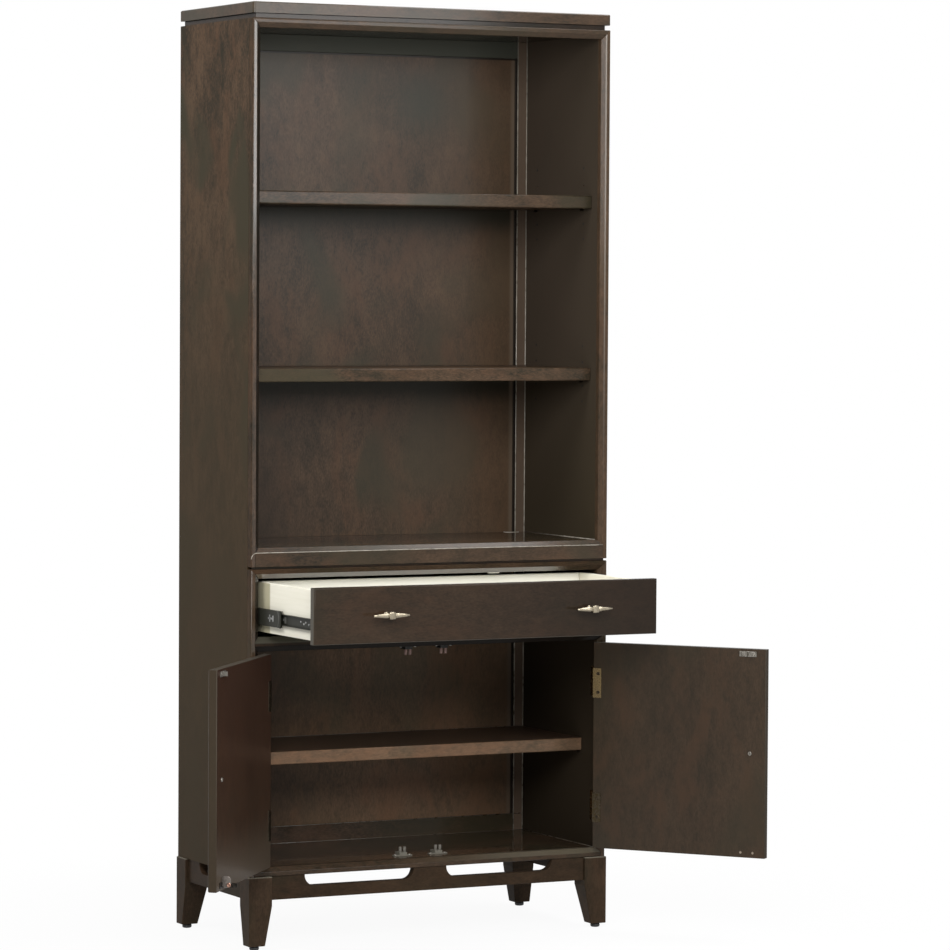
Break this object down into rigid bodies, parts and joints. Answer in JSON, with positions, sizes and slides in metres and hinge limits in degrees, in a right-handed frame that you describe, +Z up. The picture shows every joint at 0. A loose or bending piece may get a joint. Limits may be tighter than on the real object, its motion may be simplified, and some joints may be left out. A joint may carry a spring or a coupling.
{
  "type": "bookcase",
  "caption": "Tall open bookcase with shelves over a drawer on ball-bearing slides and a two-door cabinet, on tapered legs with a cut-out apron.",
  "frame": {"origin": "on the floor, under the middle of the case", "axes": "+Z up, -Y out of the front, +X to the right as seen from the front"},
  "size_m": [1.3944, 0.7715, 2.134],
  "materials": {
    "dark_wood": "satin",
    "ivory_box": "satin",
    "satin_nickel": "satin",
    "brass": "satin",
    "slide_black": "satin",
    "glide_black": "matte",
    "catch_steel": "satin",
    "catch_roller": "satin"
  },
  "bodies": {
    "case": {"top_board": "dark_wood", "top_neck": "dark_wood", "case_ceiling": "dark_wood", "left_side_panel": "dark_wood", "right_side_panel": "dark_wood", "middle_deck": "dark_wood", "dust_panel": "dark_wood", "case_bottom": "dark_wood", "back_left_stile": "dark_wood", "back_right_stile": "dark_wood", "back_top_rail": "dark_wood", "back_middle_rail": "dark_wood", "back_bottom_rail": "dark_wood", "upper_back_panel": "dark_wood", "lower_back_panel": "dark_wood", "upper_left_stile": "dark_wood", "upper_right_stile": "dark_wood", "upper_top_rail": "dark_wood", "upper_bottom_rail": "dark_wood", "groove_strip": "dark_wood", "lower_left_stile": "dark_wood", "lower_right_stile": "dark_wood", "lower_top_rail": "dark_wood", "lower_middle_rail": "dark_wood", "lower_bottom_rail": "dark_wood", "upper_shelf": "dark_wood", "middle_shelf": "dark_wood", "cabinet_shelf": "dark_wood", "front_left_leg": "dark_wood", "front_right_leg": "dark_wood", "back_left_leg": "dark_wood", "back_right_leg": "dark_wood", "front_apron": "dark_wood", "back_apron": "dark_wood", "left_apron": "dark_wood", "right_apron": "dark_wood", "shelf_pins": "catch_steel", "foot_glides": "glide_black", "slide_cabinet_members": "slide_black", "hinge_frame_leaves": "brass", "hinge_pins": "brass", "catch_brackets": "catch_steel", "catch_rollers": "catch_roller"},
    "drawer": {"drawer_front": "dark_wood", "drawer_box_front": "ivory_box", "drawer_left_side": "ivory_box", "drawer_right_side": "ivory_box", "drawer_back": "ivory_box", "drawer_bottom": "ivory_box", "drawer_pulls": "satin_nickel", "slide_drawer_members": "slide_black"},
    "slide_middles": {"slide_middle_members": "slide_black"},
    "left_door_swing": {"left_door": "dark_wood", "left_door_leaves": "brass", "left_door_strikes": "catch_steel"},
    "right_door_swing": {"right_door": "dark_wood", "right_door_leaves": "brass", "right_door_strikes": "catch_steel"}
  },
  "joints": [
    {"name": "drawer_slide", "type": "slide", "parent": "case", "child": "drawer", "axis": [0, -1, 0], "range_m": [-0.29, 0.015]},
    {"name": "slide_middles_slide", "type": "slide", "parent": "case", "child": "slide_middles", "axis": [0, -1, 0], "range_m": [-0.145, 0.0075]},
    {"name": "left_door_hinge", "type": "hinge", "parent": "case", "child": "left_door_swing", "pos_m": [-0.43285, -0.206, 0.432], "axis": [0, 0, -1], "range_deg": [-130, 45]},
    {"name": "right_door_hinge", "type": "hinge", "parent": "case", "child": "right_door_swing", "pos_m": [0.43285, -0.206, 0.432], "axis": [0, 0, 1], "range_deg": [-128, 47]}
  ],
  "couplings": [
    {"joint": "slide_middles_slide", "follows": "drawer_slide", "ratio": 0.5}
  ]
}
